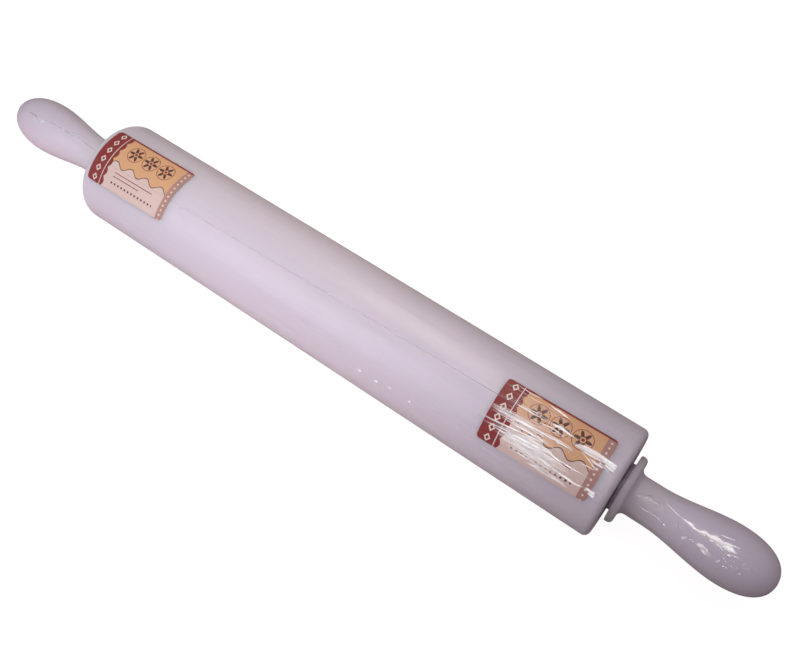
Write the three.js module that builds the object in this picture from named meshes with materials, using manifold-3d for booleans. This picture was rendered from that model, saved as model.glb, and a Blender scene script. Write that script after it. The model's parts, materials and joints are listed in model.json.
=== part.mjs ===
// A plastic rolling pin: a thick polyethylene barrel turns on two sealed ball bearings round a steel
// axle, and a moulded handle is screwed to each end of the axle.
// Millimetres, +Z up. The pin lies along X and rests on Z = 0 under the middle of the barrel.
import * as THREE from "three";
import { mergeVertices } from "three/addons/utils/BufferGeometryUtils.js";
import Module from "manifold-3d";

const wasm = await Module();
wasm.setup();

// Barrel
const barrelDiameter = 80;
const barrelLength = 450;
const barrelEndRound = 4.5;
const boreClearance = 2;
const mouthChamfer = 1;

// Handles
const handleGap = 2.9;
const flangeDiameter = 48.4;
const flangeThickness = 5.2;
const flangeRound = 3;
const flangeEdge = 0.6;
const hubDiameter = 34;
const hubEdge = 0.4;
const neckDiameter = 28.4;
const neckLength = 16.6;
const neckFillet = 4;
const bulbDiameter = 40.4;
const swellLength = 53.7;
const capLength = 32.5;

// The cap's curve leaves the bulb like an ellipse and meets the tip with a fuller, blunter round.
const capShoulder = 0.55;
const capFullness = 0.7;

// Axle
const journalDiameter = 12;
const axleShoulder = 1.5;
const studStep = 1;
const studLength = 26;
const axleChamfer = 1;

// Threaded inserts in the handles
const insertWall = 2.8;
const insertFloor = 3;
const insertWaistDepth = 0.8;
const insertWaistLength = 8;

// Ball bearings
const ballCount = 7;
const ballDiameter = 5.9;
const raceWall = 1.7;
const raceDepth = 1.2;
const ringChamfer = 0.6;
const cageBack = 0.7;
const cageReach = 1.8;
const sealThickness = 0.8;
const sealSeat = 0.8;
const sealInset = 0.1;

// Spacer sleeves between the bearings and the handles
const spacerWall = 2.6;

// Retaining rings that hold the bearings in the barrel
const clipSetback = 2;
const clipThickness = 1.2;
const clipWidth = 2.6;
const clipGrooveDepth = 0.9;
const clipEarDepth = 5.2;
const clipEarHole = 2;
const clipEarLength = 4.6;
const clipMouth = 7;

// Labels: paper stickers, bent round the barrel
const labelThickness = 0.15;
const labelGlue = 0.15;
const labelWidth = 45;
const labelCorner = 2.5;
const labelSpare = 3;
const leftLabelLength = 74;
const leftLabelMargin = 1.4;
const leftLabelAngle = 18.9;
const leftLabelSkew = 1.1;
const rightLabelLength = 79.3;
const rightLabelMargin = 4.5;
const rightLabelAngle = 26.6;
const rightLabelSkew = 1.5;

// Clearances
const seatGap = 0.1;
const fitGap = 0.2;
const runGap = 0.3;
const hubGap = 0.6;
const ballGap = 0.25;
const cageGap = 0.4;

// Facets
const barrelSides = 48;
const handleSides = 26;
const ringSides = 24;
const ballSides = 8;
const ballRings = 6;
const cageSides = 3 * ballCount;
const arcSteps = 4;
const curveSteps = 8;
const outlineSteps = 6;
const cornerSteps = 2;
const samePoint = 1e-6;

// Radii worked out from the sizes above, from the axle outwards
const barrelRadius = barrelDiameter / 2;
const journalRadius = journalDiameter / 2;
const axleRadius = journalRadius + axleShoulder;
const studRadius = journalRadius - studStep;
const ballRadius = ballDiameter / 2;
const raceRadius = ballRadius + ballGap;
const ringBoreRadius = journalRadius + fitGap;
const pitchRadius = ringBoreRadius + raceWall + raceRadius;
const innerShoulderRadius = pitchRadius - raceRadius + raceDepth;
const outerShoulderRadius = pitchRadius + raceRadius - raceDepth;
const bearingRadius = pitchRadius + raceRadius + raceWall;
const sealSeatRadius = outerShoulderRadius + sealSeat;
const bearingSeatRadius = bearingRadius + fitGap;
const clipGrooveRadius = bearingSeatRadius + clipGrooveDepth;
const insertBoreRadius = studRadius + fitGap;
const insertRadius = insertBoreRadius + insertWall;
const spacerRadius = ringBoreRadius + spacerWall;

// Places along X, from the barrel's end: retaining ring, bearing, flange face
const bearingWidth = ballDiameter + 2 * (ballGap + cageBack + fitGap + sealThickness + sealInset);
const barrelEnd = barrelLength / 2;
const rimStart = barrelEnd - barrelEndRound;
const clipOuterFace = barrelEnd - clipSetback;
const clipInnerFace = clipOuterFace - clipThickness;
const bearingOuterFace = clipInnerFace - seatGap;
const bearingCentre = bearingOuterFace - bearingWidth / 2;
const seatShoulder = bearingOuterFace - bearingWidth - seatGap;
const flangeFace = barrelEnd + handleGap;
const insertBoreDepth = studLength + axleChamfer;
const insertLength = insertBoreDepth + insertFloor;

// The barrel rests on one of its flats, so its axis is a flat's distance above the ground.
const axisHeight = barrelRadius * Math.cos(Math.PI / barrelSides);

const looks = {
  barrel: { color: 0xd7cfdc, roughness: 0.42, metalness: 0 },
  handle: { color: 0xcdc5d2, roughness: 0.4, metalness: 0 },
  steel: { color: 0xb4b6ba, roughness: 0.35, metalness: 1 },
  bearing: { color: 0xc6c8cc, roughness: 0.18, metalness: 1 },
  nylon: { color: 0xe8e2d0, roughness: 0.55, metalness: 0 },
  rubber: { color: 0x232325, roughness: 0.8, metalness: 0 },
  brass: { color: 0xc8a35a, roughness: 0.35, metalness: 1 },
  paper: { color: 0xe2c3b6, roughness: 0.7, metalness: 0 },
};

function piece(name, geometry, look) {
  const mesh = new THREE.Mesh(geometry, new THREE.MeshStandardMaterial(look));
  mesh.name = name;
  return mesh;
}

// Profiles are drawn as (radius, place along X). A line keeps its two ends, and arcs and curves get
// even steps.
function profilePoints(path) {
  const points = [];
  for (const curve of path.curves) {
    const roundSteps = curve.isEllipseCurve ? arcSteps : curveSteps;
    const steps = curve.isLineCurve ? 1 : roundSteps;
    const added = curve.getPoints(steps);
    const meets = points.length > 0 && points.at(-1).distanceTo(added[0]) < samePoint;
    points.push(...added.slice(meets ? 1 : 0));
  }
  return points;
}

// A piece turned about X. Every turned piece has a flat facing straight down.
function turned(points, sides) {
  const geometry = new THREE.LatheGeometry(points, sides, Math.PI / sides);
  geometry.rotateZ(-Math.PI / 2);
  return geometry;
}

function turnedRing(inner, outer, start, end, sides) {
  const path = new THREE.Path();
  path.moveTo(inner, start);
  path.lineTo(outer, start);
  path.lineTo(outer, end);
  path.lineTo(inner, end);
  path.lineTo(inner, start);
  return turned(profilePoints(path), sides);
}

// A flat outline in the YZ plane, thickened along +X
function plate(outline, thickness, steps) {
  const options = { depth: thickness, bevelEnabled: false, curveSegments: steps };
  const geometry = new THREE.ExtrudeGeometry(outline, options);
  const across = new THREE.Vector3(0, 1, 0);
  const up = new THREE.Vector3(0, 0, 1);
  const along = new THREE.Vector3(1, 0, 0);
  geometry.applyMatrix4(new THREE.Matrix4().makeBasis(across, up, along));
  return geometry;
}

function solidOf(geometry) {
  geometry.deleteAttribute("normal");
  geometry.deleteAttribute("uv");
  const merged = mergeVertices(geometry);
  const vertProperties = new Float32Array(merged.attributes.position.array);
  const triVerts = new Uint32Array(merged.index.array);
  return new wasm.Manifold(new wasm.Mesh({ numProp: 3, vertProperties, triVerts }));
}

function geometryOf(solid) {
  const mesh = solid.getMesh();
  const geometry = new THREE.BufferGeometry();
  geometry.setAttribute("position", new THREE.BufferAttribute(mesh.vertProperties, 3));
  geometry.setIndex(new THREE.BufferAttribute(mesh.triVerts, 1));
  geometry.computeVertexNormals();
  return geometry;
}

// The barrel has a rounded rim at each end, and inside it a chamfered mouth, a groove for the
// retaining ring, a seat for the bearing and a narrower bore for the axle.
function barrelGeometry() {
  const path = new THREE.Path();
  path.moveTo(barrelRadius, rimStart);
  path.absarc(barrelRadius - barrelEndRound, rimStart, barrelEndRound, 0, Math.PI / 2, false);
  path.lineTo(bearingSeatRadius + mouthChamfer, barrelEnd);
  path.lineTo(bearingSeatRadius, barrelEnd - mouthChamfer);
  path.lineTo(bearingSeatRadius, clipOuterFace + seatGap);
  path.lineTo(clipGrooveRadius, clipOuterFace + seatGap);
  path.lineTo(clipGrooveRadius, clipInnerFace - seatGap);
  path.lineTo(bearingSeatRadius, clipInnerFace - seatGap);
  path.lineTo(bearingSeatRadius, seatShoulder);
  path.lineTo(axleRadius + boreClearance, seatShoulder);
  const rightHalf = profilePoints(path);
  const leftHalf = rightHalf.map((point) => new THREE.Vector2(point.x, -point.y)).reverse();
  return turned([...rightHalf, ...leftHalf, rightHalf[0].clone()], barrelSides);
}

// A handle's flange face is X = 0, with the blind socket for the insert. A hub stands up from it, round the
// spacer sleeve, and covers the barrel's mouth with a running gap. Behind the flange a fillet runs into a
// straight neck, which swells into the bulb and closes in a full, round cap.
function handleGeometry() {
  const socketRadius = insertRadius + fitGap;
  const socketDepth = insertLength + fitGap;
  const flangeRadius = flangeDiameter / 2;
  const neckRadius = neckDiameter / 2;
  const bulbRadius = bulbDiameter / 2;
  const hubRadius = hubDiameter / 2;
  const hubBoreRadius = spacerRadius + fitGap;
  const hubFace = hubGap - handleGap;
  const roundRadius = Math.min(flangeRound, flangeThickness - flangeEdge);
  const filletRadius = Math.min(neckFillet, flangeRadius - roundRadius - neckRadius, neckLength);
  const neckEnd = flangeThickness + neckLength;
  const bulbPlace = neckEnd + swellLength;
  const tip = bulbPlace + capLength;
  const roundCentre = flangeThickness - roundRadius;
  const filletCentre = flangeThickness + filletRadius;
  const path = new THREE.Path();
  path.moveTo(0, socketDepth);
  path.lineTo(socketRadius, socketDepth);
  path.lineTo(socketRadius, 0);
  path.lineTo(hubBoreRadius, 0);
  path.lineTo(hubBoreRadius, hubFace);
  path.lineTo(hubRadius - hubEdge, hubFace);
  path.lineTo(hubRadius, hubFace + hubEdge);
  path.lineTo(hubRadius, 0);
  path.lineTo(flangeRadius - flangeEdge, 0);
  path.lineTo(flangeRadius, flangeEdge);
  path.absarc(flangeRadius - roundRadius, roundCentre, roundRadius, 0, Math.PI / 2, false);
  path.absarc(neckRadius + filletRadius, filletCentre, filletRadius, -Math.PI / 2, -Math.PI, true);
  path.lineTo(neckRadius, neckEnd);
  path.bezierCurveTo(
    neckRadius, neckEnd + swellLength / 3,
    bulbRadius, bulbPlace - swellLength / 3,
    bulbRadius, bulbPlace,
  );
  path.bezierCurveTo(
    bulbRadius, bulbPlace + capShoulder * capLength,
    capFullness * bulbRadius, tip,
    0, tip,
  );
  return turned(profilePoints(path), handleSides);
}

// The insert is a blind brass bush. A waist round its middle keys it into the moulded handle.
function insertGeometry() {
  const waistStart = (insertLength - insertWaistLength) / 2;
  const waistEnd = waistStart + insertWaistLength;
  const waistRadius = insertRadius - insertWaistDepth;
  const path = new THREE.Path();
  path.moveTo(0, insertBoreDepth);
  path.lineTo(insertBoreRadius, insertBoreDepth);
  path.lineTo(insertBoreRadius, 0);
  path.lineTo(insertRadius, 0);
  path.lineTo(insertRadius, waistStart);
  path.lineTo(waistRadius, waistStart + insertWaistDepth);
  path.lineTo(waistRadius, waistEnd - insertWaistDepth);
  path.lineTo(insertRadius, waistEnd);
  path.lineTo(insertRadius, insertLength);
  path.lineTo(0, insertLength);
  return turned(profilePoints(path), ringSides);
}

// The axle steps down twice at each end: a journal for the bearing and spacer, and a stud for the handle.
function axleGeometry() {
  const journalEnd = flangeFace - seatGap;
  const studEnd = flangeFace + studLength;
  const path = new THREE.Path();
  path.moveTo(axleRadius, seatShoulder);
  path.lineTo(journalRadius, seatShoulder);
  path.lineTo(journalRadius, journalEnd);
  path.lineTo(studRadius, journalEnd);
  path.lineTo(studRadius, studEnd - axleChamfer);
  path.lineTo(studRadius - axleChamfer, studEnd);
  path.lineTo(0, studEnd);
  const rightHalf = profilePoints(path);
  const leftHalf = rightHalf.map((point) => new THREE.Vector2(point.x, -point.y)).reverse();
  return turned([...leftHalf, ...rightHalf], ringSides);
}

// Inner ring of a bearing, centred on X = 0, with the balls' groove round its outside
function innerRingGeometry() {
  const half = bearingWidth / 2;
  const grooveAngle = Math.acos((pitchRadius - innerShoulderRadius) / raceRadius);
  const path = new THREE.Path();
  path.moveTo(ringBoreRadius, -half);
  path.lineTo(innerShoulderRadius, -half);
  path.absarc(pitchRadius, 0, raceRadius, Math.PI + grooveAngle, Math.PI - grooveAngle, true);
  path.lineTo(innerShoulderRadius, half);
  path.lineTo(ringBoreRadius, half);
  path.lineTo(ringBoreRadius, -half);
  return turned(profilePoints(path), ringSides);
}

// Outer ring of a bearing, with the groove round its inside and a stepped seat for each seal
function outerRingGeometry() {
  const half = bearingWidth / 2;
  const sealFloor = half - sealInset - sealThickness - sealInset;
  const grooveAngle = Math.acos((outerShoulderRadius - pitchRadius) / raceRadius);
  const path = new THREE.Path();
  path.moveTo(sealSeatRadius, -half);
  path.lineTo(bearingRadius - ringChamfer, -half);
  path.lineTo(bearingRadius, -half + ringChamfer);
  path.lineTo(bearingRadius, half - ringChamfer);
  path.lineTo(bearingRadius - ringChamfer, half);
  path.lineTo(sealSeatRadius, half);
  path.lineTo(sealSeatRadius, sealFloor);
  path.lineTo(outerShoulderRadius, sealFloor);
  path.absarc(pitchRadius, 0, raceRadius, grooveAngle, -grooveAngle, true);
  path.lineTo(outerShoulderRadius, -sealFloor);
  path.lineTo(sealSeatRadius, -sealFloor);
  path.lineTo(sealSeatRadius, -half);
  return turned(profilePoints(path), ringSides);
}

// One seal, on the +X side of the bearing's centre
function sealGeometry() {
  const outerFace = bearingWidth / 2 - sealInset;
  const lipRadius = innerShoulderRadius + runGap;
  return turnedRing(lipRadius, sealSeatRadius - fitGap, outerFace - sealThickness, outerFace, ringSides);
}

function ballAngle(index) {
  return (2 * Math.PI * index) / ballCount;
}

// The crown cage is a ring with a closed back and a round pocket for each ball. The pockets open between
// pairs of prongs that reach past the balls' centres, so that the balls snap in.
function cageGeometry() {
  const pocketRadius = ballRadius + ballGap;
  const inner = innerShoulderRadius + cageGap;
  const outer = outerShoulderRadius - cageGap;
  let cage = solidOf(turnedRing(inner, outer, -pocketRadius - cageBack, cageReach, cageSides));
  for (let index = 0; index < ballCount; index += 1) {
    const pocket = new THREE.SphereGeometry(pocketRadius, ballSides, ballRings);
    pocket.translate(0, 0, pitchRadius);
    pocket.rotateX(ballAngle(index));
    cage = cage.subtract(solidOf(pocket));
  }
  return geometryOf(cage);
}

// A retaining ring: an open spring ring with an eared, drilled lug at each side of its mouth
function clipGeometry() {
  const outer = clipGrooveRadius - fitGap;
  const inner = outer - clipWidth;
  const earRadius = outer - clipEarDepth;
  const holeRadius = (outer + earRadius) / 2;
  const mouthAngle = clipMouth / 2 / outer;
  const lugAngle = mouthAngle + clipEarLength / holeRadius;
  const holeAngle = (mouthAngle + lugAngle) / 2;
  const turn = 2 * Math.PI;
  const outline = new THREE.Shape();
  outline.absarc(0, 0, outer, mouthAngle, turn - mouthAngle, false);
  outline.absarc(0, 0, earRadius, turn - mouthAngle, turn - lugAngle, true);
  outline.absarc(0, 0, inner, turn - lugAngle, lugAngle, true);
  outline.absarc(0, 0, earRadius, lugAngle, mouthAngle, true);
  outline.closePath();
  for (const angle of [holeAngle, -holeAngle]) {
    const hole = new THREE.Path();
    const across = holeRadius * Math.cos(angle);
    const up = holeRadius * Math.sin(angle);
    hole.absarc(across, up, clipEarHole / 2, 0, turn, false);
    outline.holes.push(hole);
  }
  return plate(outline, clipThickness, outlineSteps);
}

// A label: a thin sheet bent round the barrel's top, cut to a rectangle with rounded corners that lies a
// little askew, as a sticker put on by hand does
function labelGeometry(length, skewDegrees) {
  const inner = barrelRadius + labelGlue;
  const outer = inner + labelThickness;
  const halfAngle = labelWidth / 2 / outer;
  const sheetAngle = halfAngle + labelSpare / outer;
  const sheetLength = length + 2 * labelSpare;
  const top = Math.PI / 2;
  const arch = new THREE.Shape();
  arch.absarc(0, 0, outer, top - sheetAngle, top + sheetAngle, false);
  arch.absarc(0, 0, inner, top + sheetAngle, top - sheetAngle, true);
  const sheet = plate(arch, sheetLength, outlineSteps);
  sheet.translate(-sheetLength / 2, 0, 0);
  const halfLength = length / 2;
  const halfChord = outer * Math.sin(halfAngle);
  const cornerAlong = halfLength - labelCorner;
  const cornerAcross = halfChord - labelCorner;
  const rectangle = new THREE.Shape();
  rectangle.absarc(cornerAlong, cornerAcross, labelCorner, 0, top, false);
  rectangle.absarc(-cornerAlong, cornerAcross, labelCorner, top, 2 * top, false);
  rectangle.absarc(-cornerAlong, -cornerAcross, labelCorner, 2 * top, 3 * top, false);
  rectangle.absarc(cornerAlong, -cornerAcross, labelCorner, 3 * top, 4 * top, false);
  rectangle.closePath();
  const cutter = { depth: 2 * outer, bevelEnabled: false, curveSegments: cornerSteps };
  const punch = new THREE.ExtrudeGeometry(rectangle, cutter);
  punch.rotateZ(THREE.MathUtils.degToRad(skewDegrees));
  return geometryOf(solidOf(sheet).intersect(solidOf(punch)));
}

// A sealed ball bearing round X, centred on its balls
function bearing(side) {
  const group = new THREE.Group();
  group.add(piece(`${side}_bearing_outer_ring`, outerRingGeometry(), looks.bearing));
  group.add(piece(`${side}_bearing_inner_ring`, innerRingGeometry(), looks.bearing));
  group.add(piece(`${side}_bearing_cage`, cageGeometry(), looks.nylon));
  for (let index = 0; index < ballCount; index += 1) {
    const sphere = new THREE.SphereGeometry(ballRadius, ballSides, ballRings);
    const ball = piece(`${side}_bearing_ball_${index + 1}`, sphere, looks.bearing);
    const place = new THREE.Group();
    ball.position.z = pitchRadius;
    place.rotation.x = ballAngle(index);
    place.add(ball);
    group.add(place);
  }
  const inboardSeal = piece(`${side}_bearing_inboard_seal`, sealGeometry(), looks.rubber);
  inboardSeal.rotation.z = Math.PI;
  group.add(piece(`${side}_bearing_outboard_seal`, sealGeometry(), looks.rubber));
  group.add(inboardSeal);
  return group;
}

// Everything at one end of the pin, built at the +X end
function endAssembly(side) {
  const end = new THREE.Group();
  const bearingGroup = bearing(side);
  bearingGroup.position.x = bearingCentre;
  const clip = piece(`${side}_retaining_ring`, clipGeometry(), looks.steel);
  clip.position.x = clipInnerFace;
  const spacerStart = bearingOuterFace + seatGap;
  const spacerEnd = flangeFace - seatGap;
  const spacerShape = turnedRing(ringBoreRadius, spacerRadius, spacerStart, spacerEnd, ringSides);
  const handle = piece(`${side}_handle`, handleGeometry(), looks.handle);
  handle.position.x = flangeFace;
  const insert = piece(`${side}_handle_insert`, insertGeometry(), looks.brass);
  insert.position.x = flangeFace;
  end.add(bearingGroup, clip, handle, insert);
  end.add(piece(`${side}_spacer_sleeve`, spacerShape, looks.steel));
  return end;
}

// A label lies inside the barrel's rounded rim and is turned down towards -Y from the top.
function placedLabel(name, middle, shape, angleDegrees) {
  const label = piece(name, shape, looks.paper);
  label.position.x = middle;
  label.rotation.x = THREE.MathUtils.degToRad(angleDegrees);
  return label;
}

const rightEnd = endAssembly("right");
const leftEnd = endAssembly("left");
leftEnd.rotation.z = Math.PI;

const leftLabelMiddle = -(rimStart - leftLabelMargin - leftLabelLength / 2);
const rightLabelMiddle = rimStart - rightLabelMargin - rightLabelLength / 2;
const leftLabelShape = labelGeometry(leftLabelLength, leftLabelSkew);
const rightLabelShape = labelGeometry(rightLabelLength, rightLabelSkew);

const rollingPin = new THREE.Group();
rollingPin.position.z = axisHeight;
rollingPin.add(piece("barrel", barrelGeometry(), looks.barrel));
rollingPin.add(piece("axle_rod", axleGeometry(), looks.steel));
rollingPin.add(leftEnd, rightEnd);
rollingPin.add(placedLabel("left_label", leftLabelMiddle, leftLabelShape, leftLabelAngle));
rollingPin.add(placedLabel("right_label", rightLabelMiddle, rightLabelShape, rightLabelAngle));

export default rollingPin;
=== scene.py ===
# %% [markdown]
# # A plastic rolling pin in its shrink film
#
# A baker's rolling pin: a thick lilac-white plastic barrel turns on ball bearings between two moulded
# handles. It is new, so it still wears two paper labels and a tight skin of clear film.
# The construction model already holds every solid in its place. This lesson loads it as a fixed frame
# and then gives each piece the surface that the real one shows.

# %% Load the frame
import bmesh
import bpy
import json
import math
import random
from mathutils import Matrix, Vector, geometry, noise


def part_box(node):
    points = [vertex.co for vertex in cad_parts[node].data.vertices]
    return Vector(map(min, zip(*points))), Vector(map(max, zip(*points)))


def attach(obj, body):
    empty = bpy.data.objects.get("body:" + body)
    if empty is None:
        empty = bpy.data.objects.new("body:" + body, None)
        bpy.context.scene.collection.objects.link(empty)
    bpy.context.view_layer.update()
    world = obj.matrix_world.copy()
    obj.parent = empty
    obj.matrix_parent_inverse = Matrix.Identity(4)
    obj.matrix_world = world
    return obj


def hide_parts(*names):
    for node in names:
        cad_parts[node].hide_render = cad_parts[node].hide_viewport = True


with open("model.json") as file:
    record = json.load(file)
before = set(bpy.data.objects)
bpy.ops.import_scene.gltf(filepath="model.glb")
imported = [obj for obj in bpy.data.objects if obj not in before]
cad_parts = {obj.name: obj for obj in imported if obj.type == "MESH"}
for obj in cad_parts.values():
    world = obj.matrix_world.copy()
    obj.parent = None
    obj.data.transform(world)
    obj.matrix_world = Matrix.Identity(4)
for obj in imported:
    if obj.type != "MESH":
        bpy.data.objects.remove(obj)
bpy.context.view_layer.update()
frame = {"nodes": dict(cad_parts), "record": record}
mm = 0.001

# %% [markdown]
# ## The camera
#
# The photograph looks down on the pin from beyond its right end. The barrel's edges narrow towards the
# upper left, and that narrowing gives the distance and the focal length. The slit beside the right flange
# is seen almost edge on, so the camera stands nearly level with it along the pin. The picture is cut from
# a larger one, so its middle lies beside the lens's own, and the lens is shifted for that. The camera was
# also held a few degrees out of level, which is its roll.

# %% Camera
camera_place = Vector((0.2414, -0.2611, 0.5577))
camera_aim = Vector((0.0714, 0.0310, 0.0399))
camera_roll = math.radians(5.53)
camera_lens = 39.13
camera_shift = (-0.0663, 0.0089)
sensor_width = 36

camera_data = bpy.data.cameras.new("photo_camera")
camera_data.lens = camera_lens
camera_data.sensor_width = sensor_width
camera_data.sensor_fit = "HORIZONTAL"
camera_data.shift_x, camera_data.shift_y = camera_shift
camera = bpy.data.objects.new("photo_camera", camera_data)
camera.location = camera_place
level = (camera_aim - camera_place).to_track_quat("-Z", "Y").to_matrix()
camera.rotation_euler = (level @ Matrix.Rotation(camera_roll, 3, "Z")).to_euler()
bpy.context.scene.collection.objects.link(camera)
bpy.context.scene.camera = camera
print("camera is", round((camera_aim - camera_place).length, 3), "m from its aim")

# %% [markdown]
# ## Sizes from the frame
#
# The pin lies along X. Its axis is half the barrel's height above the floor, and the barrel's ends, the
# bearing seats and the flange faces are read from the nodes' boxes, so the new surfaces stay with the
# solids that they stand for.

# %% Sizes
barrel_low, barrel_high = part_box("barrel")
axis_height = (barrel_low.z + barrel_high.z) / 2
barrel_radius = axis_height
barrel_end = barrel_high.x
axis_point = Vector((0, 0, axis_height))

ring_low, ring_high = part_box("right_bearing_outer_ring")
clip_low, clip_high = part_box("right_retaining_ring")
axle_low, axle_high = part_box("axle_rod")
handle_low, handle_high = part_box("right_handle")
insert_low, insert_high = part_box("right_handle_insert")
spacer_low, spacer_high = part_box("right_spacer_sleeve")

fit_gap = 0.2 * mm
bearing_seat_radius = (ring_high.z - ring_low.z) / 2 + fit_gap
clip_groove_radius = (clip_high.z - clip_low.z) / 2 + fit_gap
axle_radius = (axle_high.z - axle_low.z) / 2
insert_radius = (insert_high.z - insert_low.z) / 2
spacer_radius = (spacer_high.z - spacer_low.z) / 2
hub_face = handle_low.x
flange_face = insert_low.x
handle_length = handle_high.x - flange_face
print("barrel radius", round(barrel_radius / mm, 2), "mm, handle", round(handle_length / mm, 1), "mm long")

# %% [markdown]
# ## Turning a piece
#
# The barrel and the handles are bodies of revolution, and a lathe is how a maker thinks of them: draw
# half of the section, then spin it round the axis. A full spin merges its first and last copies, doubles
# at the poles are welded, and normals are recalculated on the closed skin. Edges that bend sharply stay
# crisp, and all others are shaded smooth.

# %% Turned pieces
sharp_bend = math.radians(40)
weld_distance = 1e-6
round_steps = 9


def arc(centre, radius, start, end, steps=round_steps):
    """Points (x, radius) on part of a circle, with angles in degrees from +X towards larger radius."""
    angles = [math.radians(start + (end - start) * step / steps) for step in range(steps + 1)]
    return [(centre[0] + radius * math.cos(a), centre[1] + radius * math.sin(a)) for a in angles]


def bend(start, start_pull, end_pull, end, steps):
    """Points (x, radius) on a smooth curve, pulled by a handle at each end."""
    corners = [Vector((x, r, 0)) for x, r in (start, start_pull, end_pull, end)]
    return [(p.x, p.y) for p in geometry.interpolate_bezier(*corners, steps + 1)]


def finished(name, work, weld=weld_distance):
    """Clean a bmesh, set its smooth and sharp edges and put it in the scene."""
    bmesh.ops.remove_doubles(work, verts=work.verts, dist=weld)
    bmesh.ops.dissolve_degenerate(work, edges=work.edges, dist=weld)
    bmesh.ops.recalc_face_normals(work, faces=work.faces)
    for face in work.faces:
        face.smooth = True
    for edge in work.edges:
        edge.smooth = edge.calc_face_angle(0) < sharp_bend
    mesh = bpy.data.meshes.new(name)
    work.to_mesh(mesh)
    work.free()
    piece = bpy.data.objects.new(name, mesh)
    bpy.context.scene.collection.objects.link(piece)
    return piece


def spun(outline, closed, steps):
    """A bmesh of an outline of (x, radius) points, spun round the pin's axis."""
    work = bmesh.new()
    points = [work.verts.new((x, 0, axis_height + radius)) for x, radius in outline]
    ends = points[1:] + points[:1] if closed else points[1:]
    edges = [work.edges.new(pair) for pair in zip(points, ends)]
    bmesh.ops.spin(
        work, geom=points + edges, cent=axis_point, axis=(1, 0, 0),
        angle=math.tau, steps=steps, use_merge=True,
    )
    return work


def mirrored(outline):
    """The same outline at the other end of the pin, running the other way."""
    return [(-x, radius) for x, radius in reversed(outline)]


print("a quarter round takes", round_steps, "steps")

# %% [markdown]
# ## The barrel
#
# The real barrel is a heavy polyethylene tube. Its ends are faced flat and rounded over, and each end is
# bored for a bearing, with a groove for a retaining ring. Only the outside shows, but the section is
# drawn whole, so that the mesh is a true closed body.

# %% Barrel
barrel_end_round = 4.5 * mm
mouth_chamfer = 1 * mm
seat_gap = 0.1 * mm
bore_clearance = 2 * mm
barrel_steps = 192

rim_centre = (barrel_end - barrel_end_round, barrel_radius - barrel_end_round)
barrel_right = arc(rim_centre, barrel_end_round, 90, 0)
barrel_right += [
    (barrel_end, bearing_seat_radius + mouth_chamfer),
    (barrel_end - mouth_chamfer, bearing_seat_radius),
    (clip_high.x + seat_gap, bearing_seat_radius),
    (clip_high.x + seat_gap, clip_groove_radius),
    (clip_low.x - seat_gap, clip_groove_radius),
    (clip_low.x - seat_gap, bearing_seat_radius),
    (ring_low.x - seat_gap, bearing_seat_radius),
    (ring_low.x - seat_gap, axle_radius + bore_clearance),
]
barrel = finished("barrel_skin", spun(barrel_right + mirrored(barrel_right), True, barrel_steps))
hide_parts("barrel")
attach(barrel, "barrel")
print("barrel:", len(barrel.data.polygons), "faces")

# %% [markdown]
# ## The handles
#
# Each handle is one moulding: a hub that almost touches the barrel and covers its mouth, a flange, a
# concave fillet, a straight neck and a bulb that closes in a blunt round tip. In the picture the slit beside
# the flange stops short where the hub stands. Curves with handles at their ends draw the swell and the cap,
# because two pulls say more about such a shape than a row of points.

# %% Handles
flange_radius = 24.2 * mm
flange_thickness = 5.2 * mm
flange_round = 3 * mm
flange_edge = 0.6 * mm
hub_radius = 17 * mm
hub_edge = 0.4 * mm
neck_radius = 14.2 * mm
neck_fillet = 4 * mm
neck_end = 21.8 * mm
bulb_radius = 20.2 * mm
bulb_place = 75.5 * mm
cap_shoulder = 0.55
cap_fullness = 0.7
swell_steps = 32
cap_steps = 28
handle_steps = 128


def handle_surface(lift=0.0):
    """The handle's visible outline behind its flange, from the fillet to the tip, lifted off by a gap."""
    swell = (bulb_place - neck_end) / 3
    cap = handle_length - bulb_place
    fillet = (flange_thickness + neck_fillet, neck_radius + neck_fillet)
    outline = arc(fillet, neck_fillet - lift, 180, 270)
    outline += bend(
        (neck_end, neck_radius + lift), (neck_end + swell, neck_radius + lift),
        (bulb_place - swell, bulb_radius + lift), (bulb_place, bulb_radius + lift), swell_steps,
    )
    outline += bend(
        (bulb_place, bulb_radius + lift), (bulb_place + cap_shoulder * cap, bulb_radius + lift),
        (handle_length + lift, cap_fullness * bulb_radius), (handle_length + lift, 0), cap_steps,
    )[1:]
    return outline


flange_centre = (flange_thickness - flange_round, flange_radius - flange_round)
socket_radius = insert_radius + fit_gap
socket_depth = insert_high.x - insert_low.x + fit_gap
hub_bore_radius = spacer_radius + fit_gap
hub_start = hub_face - flange_face
handle_outline = [(socket_depth, 0), (socket_depth, socket_radius), (0, socket_radius)]
handle_outline += [(0, hub_bore_radius), (hub_start, hub_bore_radius), (hub_start, hub_radius - hub_edge)]
handle_outline += [(hub_start + hub_edge, hub_radius), (0, hub_radius)]
handle_outline += [(0, flange_radius - flange_edge), (flange_edge, flange_radius)]
handle_outline += arc(flange_centre, flange_round, 90, 0)
handle_outline += handle_surface()

handles = {}
for side, direction in (("left", -1), ("right", 1)):
    placed = [(direction * (flange_face + u), radius) for u, radius in handle_outline]
    handle = finished(f"{side}_handle_skin", spun(placed, False, handle_steps))
    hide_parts(f"{side}_handle")
    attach(handle, "axle")
    handles[side] = handle
    print(handle.name, len(handle.data.polygons), "faces")

# %% [markdown]
# ## The labels
#
# A label is a paper sticker with rounded corners, bent round the barrel and stuck on a little askew. It
# starts as one flat face: its corners are bevelled, cuts are made across it every degree or so, it is turned
# by its skew, and then every point is wrapped onto the barrel. A thin solidify gives the paper its edge. The
# flat place of each point is kept in the UV map, where the print is drawn later. The camera's last fit puts
# the right label a little further from the barrel's end than its solid lies, so it is slid by that much.

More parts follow.
